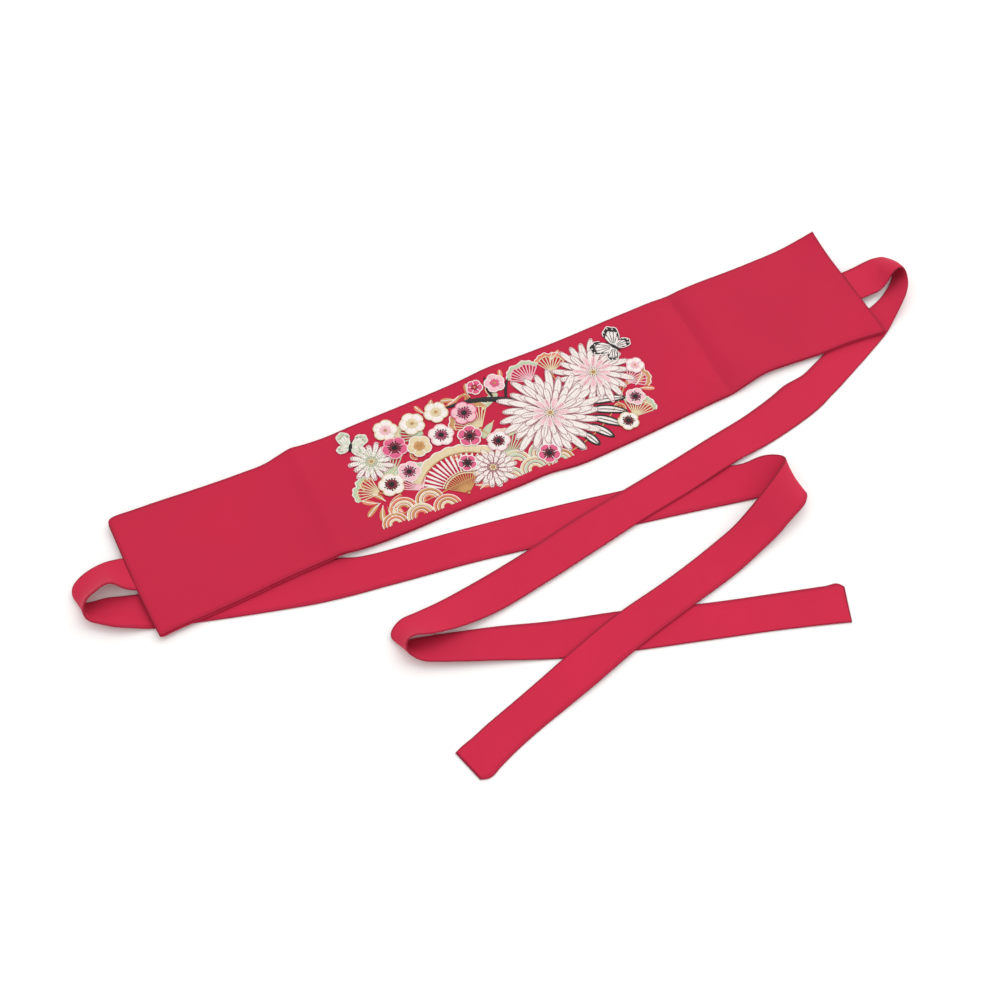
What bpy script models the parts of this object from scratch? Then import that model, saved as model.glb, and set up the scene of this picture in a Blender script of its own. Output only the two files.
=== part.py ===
"""Hanfu waist sash, laid out flat: an embroidered waist panel with one long tie at each end.

The panel lies front up with its length along X and its middle on the origin.
Each tie leaves an end of the panel, loops back under it and runs out in front (-Y):
the two ties cross, turn over in open loops and cross again, and their free ends lie splayed.
Units are metres, +Z is up and the surface that the sash lies on is z = 0.
"""
import math

import bpy
import numpy as np

MM = 0.001

# Driving dimensions
SEAM_GAP = 0.3 * MM       # space kept between pieces that touch
PANEL_WALL = 1.2 * MM     # front or back of the panel, with its interfacing
TIE_WALL = 1.5 * MM       # a tie: one strip folded double, turned and pressed
EDGE_CURL_START = 0.35    # share of the panel's half width that stays level across
CORNER_BACK = 2.5 * MM    # how far the panel's front left corner stands back
CORNER_REACH = 25 * MM

# Heights of a tie's mid wall in its table, in millimetres
REST = 0.75               # lying on the surface
OVER = 2.8                # lying over the other tie

PANEL_CELLS_ACROSS = 8
PANEL_STEPS = 2           # stations for each row of PANEL_SECTIONS
TIE_CELLS_ACROSS = 3
TIE_STEPS = 4             # sections for each row of a tie's table

# Lie of the panel, a row for each station along it, in millimetres. The heights are those of its
# underside. It was folded in thirds: a soft ridge is left at x = -187 and a valley at x = 189.
PANEL_SECTIONS = (
    # x, back edge y, back edge z, middle z, front edge y, front edge z
    (-353, 54, 4.5, 4.0, -60.5, 3.8),
    (-351.5, 59.3, 4.3, 4.0, -61.5, 3.7),
    (-349, 61, 4.2, 4.0, -62, 3.6),
    (-344, 61.6, 4.2, 4.0, -61.5, 3.5),
    (-335, 61.1, 3.8, 3.8, -60.9, 3.2),
    (-310, 60, 3.0, 3.2, -60.5, 2.6),
    (-270, 57, 2.5, 2.6, -59.5, 2.4),
    (-235, 55.3, 2.0, 2.4, -57.8, 2.6),
    (-210, 55, 2.2, 2.4, -57.6, 2.8),
    (-198, 57, 3.0, 2.9, -57.8, 3.4),
    (-187, 58, 4.6, 4.4, -58.2, 4.6),
    (-174, 57.8, 2.5, 2.4, -59.8, 3.2),
    (-155, 57.6, 0.8, 0.6, -61, 1.8),
    (-130, 58.2, 0.6, 0.0, -61.4, 1.0),
    (-80, 58.4, 0.4, 0.0, -61, 0.6),
    (-20, 59.6, 0.8, 0.0, -62.5, 0.4),
    (5, 60, 3.0, 0.0, -62.5, 0.4),
    (30, 60.5, 0.6, 0.0, -66, 0.2),
    (70, 59.6, 0.4, 0.0, -66, 0.0),
    (135, 60.4, 0.5, 0.0, -63.5, 0.0),
    (155, 60.4, 0.7, 0.5, -62.6, 0.2),
    (172, 60.4, 0.9, 1.0, -62, 0.6),
    (189, 59.8, 0.6, 0.2, -61.6, 0.8),
    (203, 59.7, 2.2, 2.6, -60, 2.6),
    (225, 60, 2.0, 2.4, -56.7, 3.4),
    (250, 59.5, 1.5, 2.0, -57.7, 3.0),
    (280, 59.2, 1.5, 2.2, -60.2, 2.5),
    (315, 59.8, 2.0, 2.6, -61.6, 2.3),
    (335, 60.6, 5.0, 3.4, -63.9, 2.3),
    (348, 60.4, 8.9, 4.2, -66.2, 3.0),
)

# Lie of the ties, a row for each section across them, in millimetres: where the section's back
# and front edges are, at mid wall, and how far the cloth bows out between them. Each table runs
# from the panel's end seam to the free end.
TIE_LEFT_SECTIONS = (
    # back edge x, y, z, front edge x, y, z, bow
    # off the panel's left end, rising into the open loop
    (-353.6, 20, 5.4, -353.6, -14, 5.4, 0),
    (-360, 22, 5.8, -360, -12, 10.5, 1),
    (-370, 23, 6.2, -370, -5, 19.0, 2),
    (-383, 21, 7.0, -383, -8, 21.0, 3),
    (-393, 17, 7.2, -393, -11, 18.5, 3),
    (-400, 12, 6.0, -398, -16, 15.0, 2),
    (-402, 5, 3.4, -399, -20, 11.0, 1),
    (-399, -1, 1.2, -397, -25, 9.0, 0),
    (-391, -4, REST, -391, -30, 8.0, 0),
    (-378, -6, REST, -381, -38, 7.5, 0),
    (-364, -11, REST, -369, -44, 5.5, 0),
    (-349, -16, REST, -357, -49, 2.2, 0),
    # along the floor, under the panel's left end and the right tie
    (-312, -27, REST, -322.3, -60, REST, 0),
    (-241, -48.5, REST, -250.3, -81.7, REST, 0),
    (-212, -55, REST, -221.4, -89.6, REST, 0),
    (-190, -57.4, REST, -198, -94.4, REST, 0),
    (-181, -61.8, REST, -187, -96.4, REST, 0),
    (-166, -66, REST, -171, -98.8, REST, 0),
    (-141, -70.2, REST, -147, -102.8, REST, 0),
    (-94, -77.3, REST, -100.3, -110.2, REST, 0),
    (2.2, -94.8, REST, -5, -129.5, REST, 0),
    (96, -114, REST, 90, -149.5, REST, 0),
    (142, -122.6, REST, 135, -159.8, REST, 0),
    # up and back over itself in a loop that is open at the back
    (159, -129, 3.2, 156, -164.5, 1.5, 0),
    (176, -132.2, 8.5, 172, -168.5, 3.2, 0),
    (186.3, -139, 12.5, 185, -174, 5.2, 1),
    (189.4, -145.6, 15.8, 190.6, -181.4, 7.4, 2),
    (184, -151, 19.3, 186.3, -187.2, 9.6, 2),
    (171, -159, 21.0, 180.6, -192, 11.2, 1),
    (151, -169, 18.6, 163, -199, 9.4, 0),
    (134, -176, 13.4, 148, -205, 6.6, 0),
    (117, -181.7, 8.0, 129, -210.7, 4.2, 0),
    (98, -186, 4.0, 108, -217, OVER, 0),
    # over the right tie and out to the free end
    (42, -199, OVER, 49, -230, OVER, 0),
    (-11, -208.7, OVER, -2, -241.4, OVER, 0),
    (-66, -224, OVER, -58, -257, OVER, 0),
    (-88, -230.5, 1.8, -79, -262.2, 1.8, 0),
    (-120, -239.6, REST, -111, -270.2, REST, 0),
    (-150, -248.2, REST, -141, -279.6, REST, 0),
    (-162, -252.2, REST, -153, -284.2, REST, 0),
    (-174, -255.4, REST, -165, -288.6, REST, 0),
    (-179.2, -257.6, REST, -171.5, -286, REST, 0),
)
TIE_RIGHT_SECTIONS = (
    # back edge x, y, z, front edge x, y, z, bow
    # off the panel's right end, rising into the open loop
    (348.3, 9, 6.2, 348.3, -25, 5.8, 0),
    (360, 9, 6.4, 358, -25, 6.2, 0),
    (373, 10, 6.6, 370, -25, 7.5, 0),
    (381.2, 10, 6.8, 377, -23, 12.0, 1),
    (387.6, 9, 6.6, 382, -20, 17.0, 2),
    (394, 7.2, 5.4, 388, -18, 19.5, 2),
    (397, 3.6, 3.6, 396, -17, 17.5, 2),
    (397, -2, 1.6, 397, -22, 14.5, 1),
    (394, -9, REST, 393.4, -31.5, 13.0, 0),
    (388, -16, REST, 385.7, -40.8, 12.0, 0),
    (377, -24, REST, 375.5, -48.7, 9.0, 0),
    (363, -31, REST, 365, -56, 5.0, 0),
    (346, -36, REST, 353, -64, 1.6, 0),
    # along the floor, under the panel's right corner, then over the left tie
    (315, -47, REST, 326, -77, REST, 0),
    (280, -62.3, REST, 293, -91.4, REST, 0),
    (268, -67, REST, 280, -97, REST, 0),
    (257, -71, REST, 268, -101.6, REST, 0),
    (246, -72.4, REST, 256, -106.6, REST, 0),
    (237, -73.2, REST, 247, -109.6, REST, 0),
    (221, -78, REST, 230, -113.8, REST, 0),
    (187, -86, REST, 195, -120.2, REST, 0),
    (149, -92, 1.8, 156, -124.8, 3.3, 0),
    (99, -100, 2.6, 105, -133, 2.9, 0),
    (49, -107, OVER, 53, -140, OVER, 0),
    (-1, -114, OVER, 3, -148.5, OVER, 0),
    (-51, -123, OVER, -47, -156.6, OVER, 0),
    # rising into a loop that is open at the front
    (-101, -129.8, 2.5, -101, -163.5, 4.0, 0),
    (-136, -133.2, 3.0, -136, -164.3, 11.0, 0),
    (-157, -134, 4.0, -157, -163, 18.5, 1),
    (-170.6, -134.8, 5.0, -168, -160, 21.0, 2),
    (-179.5, -139.7, 4.8, -175, -161, 18.5, 2),
    (-182.7, -144, 3.0, -178, -166, 14.0, 1),
    (-180.6, -149.3, 1.2, -175, -171, 10.0, 0),
    (-171, -152, REST, -170, -177.3, 8.5, 0),
    (-153, -157, REST, -159, -183.2, 7.0, 0),
    (-132.4, -163.3, REST, -142, -191, 6.0, 0),
    (-103.5, -172.6, REST, -116, -202, 4.0, 0),
    # along the floor, under the left tie and out to the free end
    (-62, -188, REST, -74, -220, REST, 0),
    (0.6, -207.8, REST, -11.5, -242.8, REST, 0),
    (55, -228.6, REST, 44, -260.5, REST, 0),
    (120, -249.5, REST, 111, -282, REST, 0),
    (152, -259.4, REST, 142, -293, REST, 0),
    (162, -262.4, REST, 152, -296.6, REST, 0),
    (170, -263.6, REST, 158, -298.9, REST, 0),
    (173, -269.5, REST, 160.8, -300, REST, 0),
)

CRIMSON = (0.60, 0.030, 0.075)
CRIMSON_BACK = (0.56, 0.028, 0.070)


def smooth_rows(table, steps):
    """Rows of a table, with steps - 1 more between each two, on a smooth curve through them."""
    rows = np.array(table, dtype=float)
    spans = np.linalg.norm(np.diff(rows, axis=0), axis=1)
    slopes = np.diff(rows, axis=0) / spans[:, None]
    tangents = np.empty_like(rows)
    tangents[0] = slopes[0]
    tangents[-1] = slopes[-1]
    before = spans[:-1, None]
    after = spans[1:, None]
    tangents[1:-1] = (slopes[:-1] * after + slopes[1:] * before) / (before + after)
    found = []
    for i, span in enumerate(spans):
        for t in np.arange(steps) / steps:
            start = (2 * t**3 - 3 * t**2 + 1) * rows[i] + (t**3 - 2 * t**2 + t) * span * tangents[i]
            end = (3 * t**2 - 2 * t**3) * rows[i + 1] + (t**3 - t**2) * span * tangents[i + 1]
            found.append(start + end)
    found.append(rows[-1])
    return np.array(found)


def unit(vectors):
    """Vectors of an array, each at length 1."""
    return vectors / np.linalg.norm(vectors, axis=-1, keepdims=True)


def panel_underside():
    """Grid of points of the panel's underside: stations along it by points across it."""
    across = np.linspace(-1.0, 1.0, PANEL_CELLS_ACROSS + 1)
    curl = np.clip((np.abs(across) - EDGE_CURL_START) / (1 - EDGE_CURL_START), 0, 1) ** 2
    grid = []
    for x, back_y, back_z, middle_z, front_y, front_z in smooth_rows(PANEL_SECTIONS, PANEL_STEPS):
        y = front_y + (back_y - front_y) * (across + 1) / 2
        edge_z = np.where(across > 0, back_z, front_z)
        z = np.maximum(middle_z + (edge_z - middle_z) * curl, 0)
        near_end = max(0.0, 1 - (x - PANEL_SECTIONS[0][0]) * MM / CORNER_REACH)
        end_x = x + CORNER_BACK / MM * near_end * np.minimum(across, 0) ** 2
        grid.append(np.stack([end_x, y, z], axis=1))
    return np.array(grid) * MM


def tie_middle(sections):
    """Grid of points at mid wall of a tie, sections along it by points from front to back edge."""
    rows = smooth_rows(sections, TIE_STEPS)
    back = rows[:, None, 0:3]
    front = rows[:, None, 3:6]
    bow = rows[:, None, 6:7]
    share = np.linspace(0.0, 1.0, TIE_CELLS_ACROSS + 1)[None, :, None]
    along = np.gradient((back + front) / 2, axis=0)
    outward = unit(np.cross(along, back - front))
    straight = front + (back - front) * share
    middle = straight + outward * bow * 4 * share * (1 - share)
    middle[:, :, 2] = np.maximum(middle[:, :, 2], REST)
    return middle * MM


def grid_normals(grid):
    """Unit normals of a grid of points."""
    return unit(np.cross(np.gradient(grid, axis=0), np.gradient(grid, axis=1)))


def wall_between(name, lower, upper, colour):
    """One closed solid between two grids of points."""
    rows, columns = lower.shape[:2]
    count = rows * columns
    points = np.concatenate([upper.reshape(-1, 3), lower.reshape(-1, 3)])
    faces = []

    def at(i, j):
        return i * columns + j

    for i in range(rows - 1):
        for j in range(columns - 1):
            near, far = at(i, j), at(i + 1, j + 1)
            for face in ((near, at(i + 1, j), far), (near, far, at(i, j + 1))):
                faces.append(face)
                faces.append(tuple(corner + count for corner in reversed(face)))
    rim = [at(i, 0) for i in range(rows)]
    rim += [at(rows - 1, j) for j in range(1, columns)]
    rim += [at(i, columns - 1) for i in range(rows - 2, -1, -1)]
    rim += [at(0, j) for j in range(columns - 2, 0, -1)]
    for first, second in zip(rim, rim[1:] + rim[:1]):
        faces.append((second, first, first + count, second + count))
    mesh = bpy.data.meshes.new(name)
    mesh.from_pydata(points.tolist(), [], faces)
    mesh.shade_smooth()
    mesh.set_sharp_from_angle(angle=math.radians(40))
    mesh.materials.append(cloth(name + "_cloth", colour))
    piece = bpy.data.objects.new(name, mesh)
    bpy.context.scene.collection.objects.link(piece)
    return piece


def cloth(name, colour):
    """Plain woven cloth of one colour."""
    material = bpy.data.materials.new(name)
    material.use_nodes = True
    shader = material.node_tree.nodes["Principled BSDF"]
    shader.inputs["Base Color"].default_value = (*colour, 1.0)
    shader.inputs["Roughness"].default_value = 0.8
    shader.inputs["Metallic"].default_value = 0.0
    return material


def make_panel():
    """The panel's back piece on the surface and its front piece on that."""
    underside = panel_underside()
    up = np.array([0, 0, 1])
    back_top = underside + up * PANEL_WALL
    front_bottom = back_top + up * SEAM_GAP
    front_top = front_bottom + up * PANEL_WALL
    wall_between("panel_back", underside, back_top, CRIMSON_BACK)
    wall_between("panel_front", front_bottom, front_top, CRIMSON)


def make_tie(name, sections):
    """One tie, from the panel's end seam to its free end."""
    middle = tie_middle(sections)
    half_wall = grid_normals(middle) * TIE_WALL / 2
    wall_between(name, middle - half_wall, middle + half_wall, CRIMSON)


def main():
    for old in list(bpy.data.objects):
        bpy.data.objects.remove(old)
    make_panel()
    make_tie("tie_left", TIE_LEFT_SECTIONS)
    make_tie("tie_right", TIE_RIGHT_SECTIONS)


main()
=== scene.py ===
import math

import bpy
import numpy as np
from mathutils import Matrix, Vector


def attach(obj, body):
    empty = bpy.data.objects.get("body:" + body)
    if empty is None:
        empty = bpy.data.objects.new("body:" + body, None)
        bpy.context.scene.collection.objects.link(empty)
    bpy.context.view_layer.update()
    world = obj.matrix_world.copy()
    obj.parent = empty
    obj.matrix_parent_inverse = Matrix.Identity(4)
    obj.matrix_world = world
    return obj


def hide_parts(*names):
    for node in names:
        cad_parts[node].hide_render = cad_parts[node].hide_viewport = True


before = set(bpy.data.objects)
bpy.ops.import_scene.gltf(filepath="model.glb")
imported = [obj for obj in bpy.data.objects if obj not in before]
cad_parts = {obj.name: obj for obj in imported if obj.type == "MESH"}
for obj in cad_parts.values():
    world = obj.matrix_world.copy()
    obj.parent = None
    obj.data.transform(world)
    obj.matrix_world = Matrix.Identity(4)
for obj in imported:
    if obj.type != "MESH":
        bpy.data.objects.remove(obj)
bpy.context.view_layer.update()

MM = 0.001
random = np.random.default_rng(7)

# ---------------------------------------------------------------- cloth forms, as in the solids
PANEL_LEFT = -353         # x of the panel's two ends, mm
PANEL_RIGHT = 348
PANEL_THICK = 2.7         # front and back together, mm
HALF_WIDTH = 61.5         # half the panel's width, which sets the spacing of its stations
EDGE_CURL_START = 0.35    # share of the half width from which the edges may curl up
CORNER_BACK = 2.5         # how far the left front corner is drawn in
CORNER_REACH = 25         # and over what length
PANEL_EDGE_ROUND = 1.0    # width of the rounding at a bagged-out edge
BAND_RISE = 0.22          # how far the seam allowances inside lift the cloth along each edge
SEAM_ROUND = 1.4          # width of the furrow that the edge seam draws between front and back
SEAM_SLIT = 0.04          # half the slit between front and back
SEAM_ALLOWANCE = 8.5      # width of the thicker band along each edge
BACK_LAP = 0.9            # how far the back shows past the front along the front edge, at the left
EDGE_LINE = 2.3           # distance from the edge of the fine furrow that pressing leaves
FURROW_DEPTH = 0.09
BACK_SHADE = 0.25         # how much of the front's painted shade lines shows on the back
RIDGE_X = -187            # the left fold crease, a soft ridge
RIDGE_HEIGHT = 0.40
VALLEY_X = 190            # the right fold crease, a sharper valley
VALLEY_DEPTH = 0.8
TIE_WIDTH = 33.3
TIE_THICK = 1.5
TIE_EDGE_ROUND = 1.1
TIE_SEAM_LINE = 2.4       # distance of a tie's stitched groove from its seamed edge
TIE_GROOVE_DEPTH = 0.16
REST = 0.75               # middle height of a tie that lies on the floor
OVER = 2.8                # and of one that lies over another
WEAVE_PITCH = 0.00055     # one wave of the cloth's weave, m

PANEL_SECTIONS = (
    # x, back edge y, back edge z, middle z, front edge y, front edge z
    (-353, 54, 4.5, 4.0, -60.5, 3.8),
    (-351.5, 59.3, 4.3, 4.0, -61.5, 3.7),
    (-349, 61, 4.2, 4.0, -62, 3.6),
    (-344, 61.6, 4.2, 4.0, -61.5, 3.5),
    (-335, 61.1, 3.8, 3.8, -60.9, 3.2),
    (-310, 60, 3.0, 3.2, -60.5, 2.6),
    (-270, 57, 2.5, 2.6, -59.5, 2.4),
    (-235, 55.3, 2.0, 2.4, -57.8, 2.6),
    (-210, 55, 2.2, 2.4, -57.6, 2.8),
    (-198, 57, 3.0, 2.9, -57.8, 3.4),
    (-187, 58, 4.6, 4.4, -58.2, 4.6),
    (-174, 57.8, 2.5, 2.4, -59.8, 3.2),
    (-155, 57.6, 0.8, 0.6, -61, 1.8),
    (-130, 58.2, 0.6, 0.0, -61.4, 1.0),
    (-80, 58.4, 0.4, 0.0, -61, 0.6),
    (-20, 59.6, 0.8, 0.0, -62.5, 0.4),
    (5, 60, 3.0, 0.0, -62.5, 0.4),
    (30, 60.5, 0.6, 0.0, -66, 0.2),
    (70, 59.6, 0.4, 0.0, -66, 0.0),
    (135, 60.4, 0.5, 0.0, -63.5, 0.0),
    (155, 60.4, 0.7, 0.5, -62.6, 0.2),
    (172, 60.4, 0.9, 1.0, -62, 0.6),
    (189, 59.8, 0.6, 0.2, -61.6, 0.8),
    (203, 59.7, 2.2, 2.6, -60, 2.6),
    (225, 60, 2.0, 2.4, -56.7, 3.4),
    (250, 59.5, 1.5, 2.0, -57.7, 3.0),
    (280, 59.2, 1.5, 2.2, -60.2, 2.5),
    (315, 59.8, 2.0, 2.6, -61.6, 2.3),
    (335, 60.6, 5.0, 3.4, -63.9, 2.3),
    (348, 60.4, 8.9, 4.2, -66.2, 3.0),
)
TIE_LEFT_SECTIONS = (
    # back edge x, y, z, front edge x, y, z, bow
    (-351.3, 20, 5.4, -351.3, -14, 5.4, 0),
    (-360, 22, 5.8, -360, -12, 10.5, 1),
    (-370, 23, 6.2, -370, -5, 19.0, 2),
    (-383, 21, 7.0, -383, -8, 21.0, 3),
    (-393, 17, 7.2, -393, -11, 18.5, 3),
    (-400, 12, 6.0, -398, -16, 15.0, 2),
    (-402, 5, 3.4, -399, -20, 11.0, 1),
    (-399, -1, 1.2, -397, -25, 9.0, 0),
    (-391, -4, REST, -391, -30, 8.0, 0),
    (-378, -6, REST, -381, -38, 7.5, 0),
    (-364, -11, REST, -369, -44, 5.5, 0),
    (-349, -16, REST, -357, -49, 2.2, 0),
    (-312, -27, REST, -322.3, -60, REST, 0),
    (-241, -48.5, REST, -250.3, -81.7, REST, 0),
    (-212, -55, REST, -221.4, -89.6, REST, 0),
    (-190, -57.4, REST, -198, -94.4, REST, 0),
    (-181, -61.8, REST, -187, -96.4, REST, 0),
    (-166, -66, REST, -171, -98.8, REST, 0),
    (-141, -70.2, REST, -147, -102.8, REST, 0),
    (-94, -77.3, REST, -100.3, -110.2, REST, 0),
    (2.2, -94.8, REST, -5, -129.5, REST, 0),
    (96, -114, REST, 90, -149.5, REST, 0),
    (142, -122.6, REST, 135, -159.8, REST, 0),
    (159, -129, 3.2, 156, -164.5, 1.5, 0),
    (176, -132.2, 8.5, 172, -168.5, 3.2, 0),
    (186.3, -139, 12.5, 185, -174, 5.2, 1),
    (189.4, -145.6, 15.8, 190.6, -181.4, 7.4, 2),
    (184, -151, 19.3, 186.3, -187.2, 9.6, 2),
    (171, -159, 21.0, 180.6, -192, 11.2, 1),
    (151, -169, 18.6, 163, -199, 9.4, 0),
    (134, -176, 13.4, 148, -205, 6.6, 0),
    (117, -181.7, 8.0, 129, -210.7, 4.2, 0),
    (98, -186, 4.0, 108, -217, OVER, 0),
    (42, -199, OVER, 49, -230, OVER, 0),
    (-11, -208.7, OVER, -2, -241.4, OVER, 0),
    (-66, -224, OVER, -58, -257, OVER, 0),
    (-88, -230.5, 1.8, -79, -262.2, 1.8, 0),
    (-120, -239.6, REST, -111, -270.2, REST, 0),
    (-150, -248.2, REST, -141, -279.6, REST, 0),
    (-162, -252.2, REST, -153, -284.2, REST, 0),
    (-174, -255.4, REST, -165, -288.6, REST, 0),
    (-179.2, -257.6, REST, -171.5, -286, REST, 0),
)
TIE_RIGHT_SECTIONS = (
    # back edge x, y, z, front edge x, y, z, bow
    (346.3, 9, 6.2, 346.3, -25, 5.8, 0),
    (360, 9, 6.4, 358, -25, 6.2, 0),
    (373, 10, 6.6, 370, -25, 7.5, 0),
    (381.2, 10, 6.8, 377, -23, 12.0, 1),
    (387.6, 9, 6.6, 382, -20, 17.0, 2),
    (394, 7.2, 5.4, 388, -18, 19.5, 2),
    (397, 3.6, 3.6, 396, -17, 17.5, 2),
    (397, -2, 1.6, 397, -22, 14.5, 1),
    (394, -9, REST, 393.4, -31.5, 13.0, 0),
    (388, -16, REST, 385.7, -40.8, 12.0, 0),
    (377, -24, REST, 375.5, -48.7, 9.0, 0),
    (363, -31, REST, 365, -56, 5.0, 0),
    (346, -36, REST, 353, -64, 1.6, 0),
    (315, -47, REST, 326, -77, REST, 0),
    (280, -62.3, REST, 293, -91.4, REST, 0),
    (268, -67, REST, 280, -97, REST, 0),
    (257, -71, REST, 268, -101.6, REST, 0),
    (246, -72.4, REST, 256, -106.6, REST, 0),
    (237, -73.2, REST, 247, -109.6, REST, 0),
    (221, -78, REST, 230, -113.8, REST, 0),
    (187, -86, REST, 195, -120.2, REST, 0),
    (149, -92, 1.8, 156, -124.8, 3.3, 0),
    (99, -100, 2.6, 105, -133, 2.9, 0),
    (49, -107, OVER, 53, -140, OVER, 0),
    (-1, -114, OVER, 3, -148.5, OVER, 0),
    (-51, -123, OVER, -47, -156.6, OVER, 0),
    (-101, -129.8, 2.5, -101, -163.5, 4.0, 0),
    (-136, -133.2, 3.0, -136, -164.3, 11.0, 0),
    (-157, -134, 4.0, -157, -163, 18.5, 1),
    (-170.6, -134.8, 5.0, -168, -160, 21.0, 2),
    (-179.5, -139.7, 4.8, -175, -161, 18.5, 2),
    (-182.7, -144, 3.0, -178, -166, 14.0, 1),
    (-180.6, -149.3, 1.2, -175, -171, 10.0, 0),
    (-171, -152, REST, -170, -177.3, 8.5, 0),
    (-153, -157, REST, -159, -183.2, 7.0, 0),
    (-132.4, -163.3, REST, -142, -191, 6.0, 0),
    (-103.5, -172.6, REST, -116, -202, 4.0, 0),
    (-62, -188, REST, -74, -220, REST, 0),
    (0.6, -207.8, REST, -11.5, -242.8, REST, 0),
    (55, -228.6, REST, 44, -260.5, REST, 0),
    (120, -249.5, REST, 111, -282, REST, 0),
    (152, -259.4, REST, 142, -293, REST, 0),
    (162, -262.4, REST, 152, -296.6, REST, 0),
    (170, -263.6, REST, 158, -298.9, REST, 0),
    (173, -269.5, REST, 160.8, -300, REST, 0),
)


def smooth_rows(table, steps):
    """Rows of a table, with steps - 1 more between each two, on a smooth curve through them."""
    rows = np.array(table, dtype=float)
    spans = np.linalg.norm(np.diff(rows, axis=0), axis=1)
    slopes = np.diff(rows, axis=0) / spans[:, None]
    tangents = np.empty_like(rows)
    tangents[[0, -1]] = slopes[[0, -1]]
    before = spans[:-1, None]
    after = spans[1:, None]
    tangents[1:-1] = (slopes[:-1] * after + slopes[1:] * before) / (before + after)
    found = []
    for i, span in enumerate(spans):
        for t in np.arange(steps) / steps:
            start = (2 * t**3 - 3 * t**2 + 1) * rows[i] + (t**3 - 2 * t**2 + t) * span * tangents[i]
            end = (3 * t**2 - 2 * t**3) * rows[i + 1] + (t**3 - t**2) * span * tangents[i + 1]
            found.append(start + end)
    found.append(rows[-1])
    return np.array(found)


def unit(vectors):
    return vectors / np.maximum(np.linalg.norm(vectors, axis=-1, keepdims=True), 1e-12)


def grid_normals(grid):
    return unit(np.cross(np.gradient(grid, axis=0), np.gradient(grid, axis=1)))


def smoothstep(low, high, x):
    t = np.clip((x - low) / (high - low), 0, 1)
    return t * t * (3 - 2 * t)


def rounding(distance, radius):
    """Share of full thickness at a distance from a rounded edge."""
    return np.sqrt(np.maximum(1 - (1 - np.clip(distance / radius, 0, 1)) ** 2, 0.0))


PANEL_ROWS = smooth_rows(PANEL_SECTIONS, 12)


def panel_plan(x):
    """Back edge y, back edge z, middle z, front edge y and front edge z at stations x."""
    return [np.interp(x, PANEL_ROWS[:, 0], PANEL_ROWS[:, k]) for k in range(1, 6)]


def panel_lie(x, across):
    """Plan y and height of the panel's underside; across runs from -1 in front to 1 at the back."""
    back_y, back_z, middle_z, front_y, front_z = panel_plan(x)
    y = front_y + (back_y - front_y) * (across + 1) / 2
    curl = np.clip((np.abs(across) - EDGE_CURL_START) / (1 - EDGE_CURL_START), 0, 1) ** 2
    z = middle_z + (np.where(across > 0, back_z, front_z) - middle_z) * curl
    return y, np.maximum(z, 0)


# Soft undulations of the laid cloth: height, wavelength, direction and start, in mm and radians
PANEL_SWELLS = (
    (0.20, 145.0, 0.15, 0.4),
    (0.14, 83.0, -0.10, 2.1),
    (0.07, 47.0, 0.22, 4.0),
    (0.05, 31.0, -0.18, 1.2),
    (0.10, 110.0, 1.35, 0.9),
    (0.03, 19.0, 0.05, 5.1),
)


def swells(x, y, table):
    """Sum of slow waves, weaker where they would all peak together."""
    total = np.zeros_like(x + y)
    for height, length, turn, start in table:
        along = x * math.cos(turn) + y * math.sin(turn)
        bend = 0.6 * np.sin(y / 37.0 + start * 2) + 0.5 * np.sin(x / 71.0 + start)
        total = total + height * np.sin(2 * math.pi * along / length + start + bend)
    return total


def pressed_edges(to_back, to_front):
    """Painted shade: a dark line along the edges, where the rounded edge turns away from the light;
    firmer along the back than in front.
    """
    return np.maximum(1 - smoothstep(0.7, 1.7, to_back), 0.7 * (1 - smoothstep(0.5, 1.4, to_front)))


def puckers(along, distance, length, seed):
    """Fine ripples along a seam, dying away from it."""
    drift = 1.3 * np.sin(along / 23.0 + seed) + 0.8 * np.sin(along / 9.0 + 2 * seed)
    return np.exp(-distance / 4.5) * np.sin(2 * math.pi * along / length + drift)


def past_valley(x, y):
    """Distance to the right of the sharp crease where the panel was folded front to front."""
    return x - VALLEY_X - 1.5 * np.sin(y / 24.0)


def panel_relief(x, y):
    """Height of the cloth's own relief over the plain lie: swells, creases, seam band and puckers."""
    back_y, _, _, front_y, _ = panel_plan(x)
    to_edge = np.minimum(back_y - y, y - front_y)
    to_end = np.minimum(x - PANEL_LEFT, PANEL_RIGHT - x)
    distance = np.minimum(to_edge, to_end)
    band = BAND_RISE * (1 - smoothstep(SEAM_ALLOWANCE - 1.5, SEAM_ALLOWANCE + 1.0, distance))
    furrow = -FURROW_DEPTH * np.exp(-((distance - EDGE_LINE) / 0.5) ** 2)
    side = np.where(y > 0, 1.0, 2.0)
    pucker = 0.10 * puckers(x, np.maximum(to_edge, 0), 11.0, side)
    pucker = pucker + 0.08 * puckers(y, np.maximum(to_end, 0), 9.0, 3.0)
    past = past_valley(x, y)
    valley = -VALLEY_DEPTH * np.exp(np.where(past < 0, past / 2.2, -past / 6.0))
    ridge = RIDGE_HEIGHT * np.exp(-np.abs(x - RIDGE_X - 2.0 * np.sin(y / 30.0 + 1.0)) / 4.0)
    swell = swells(x, y, PANEL_SWELLS) * smoothstep(0, 12, distance)
    return swell + band + furrow + pucker + valley + ridge


def panel_top(x, y):
    """Height of the panel's upper surface at points of its plan, in mm."""
    back_y, _, _, front_y, _ = panel_plan(x)
    across = np.clip(2 * (y - front_y) / (back_y - front_y) - 1, -1, 1)
    return panel_lie(x, across)[1] + PANEL_THICK + panel_relief(x, y)


def stations(low, high, step, fine=(0.12, 0.4, 0.8, 1.3, 1.9, 2.3, 2.8)):
    """Even stations between two edges, with more of them close to each edge."""
    count = max(2, int((high - low) / step))
    inner = np.linspace(low + fine[-1] + step / 2, high - fine[-1] - step / 2, count)
    near = low + np.array((0.0,) + fine)
    far = high - np.array((0.0,) + fine)[::-1]
    return np.concatenate([near, inner, far])


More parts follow.
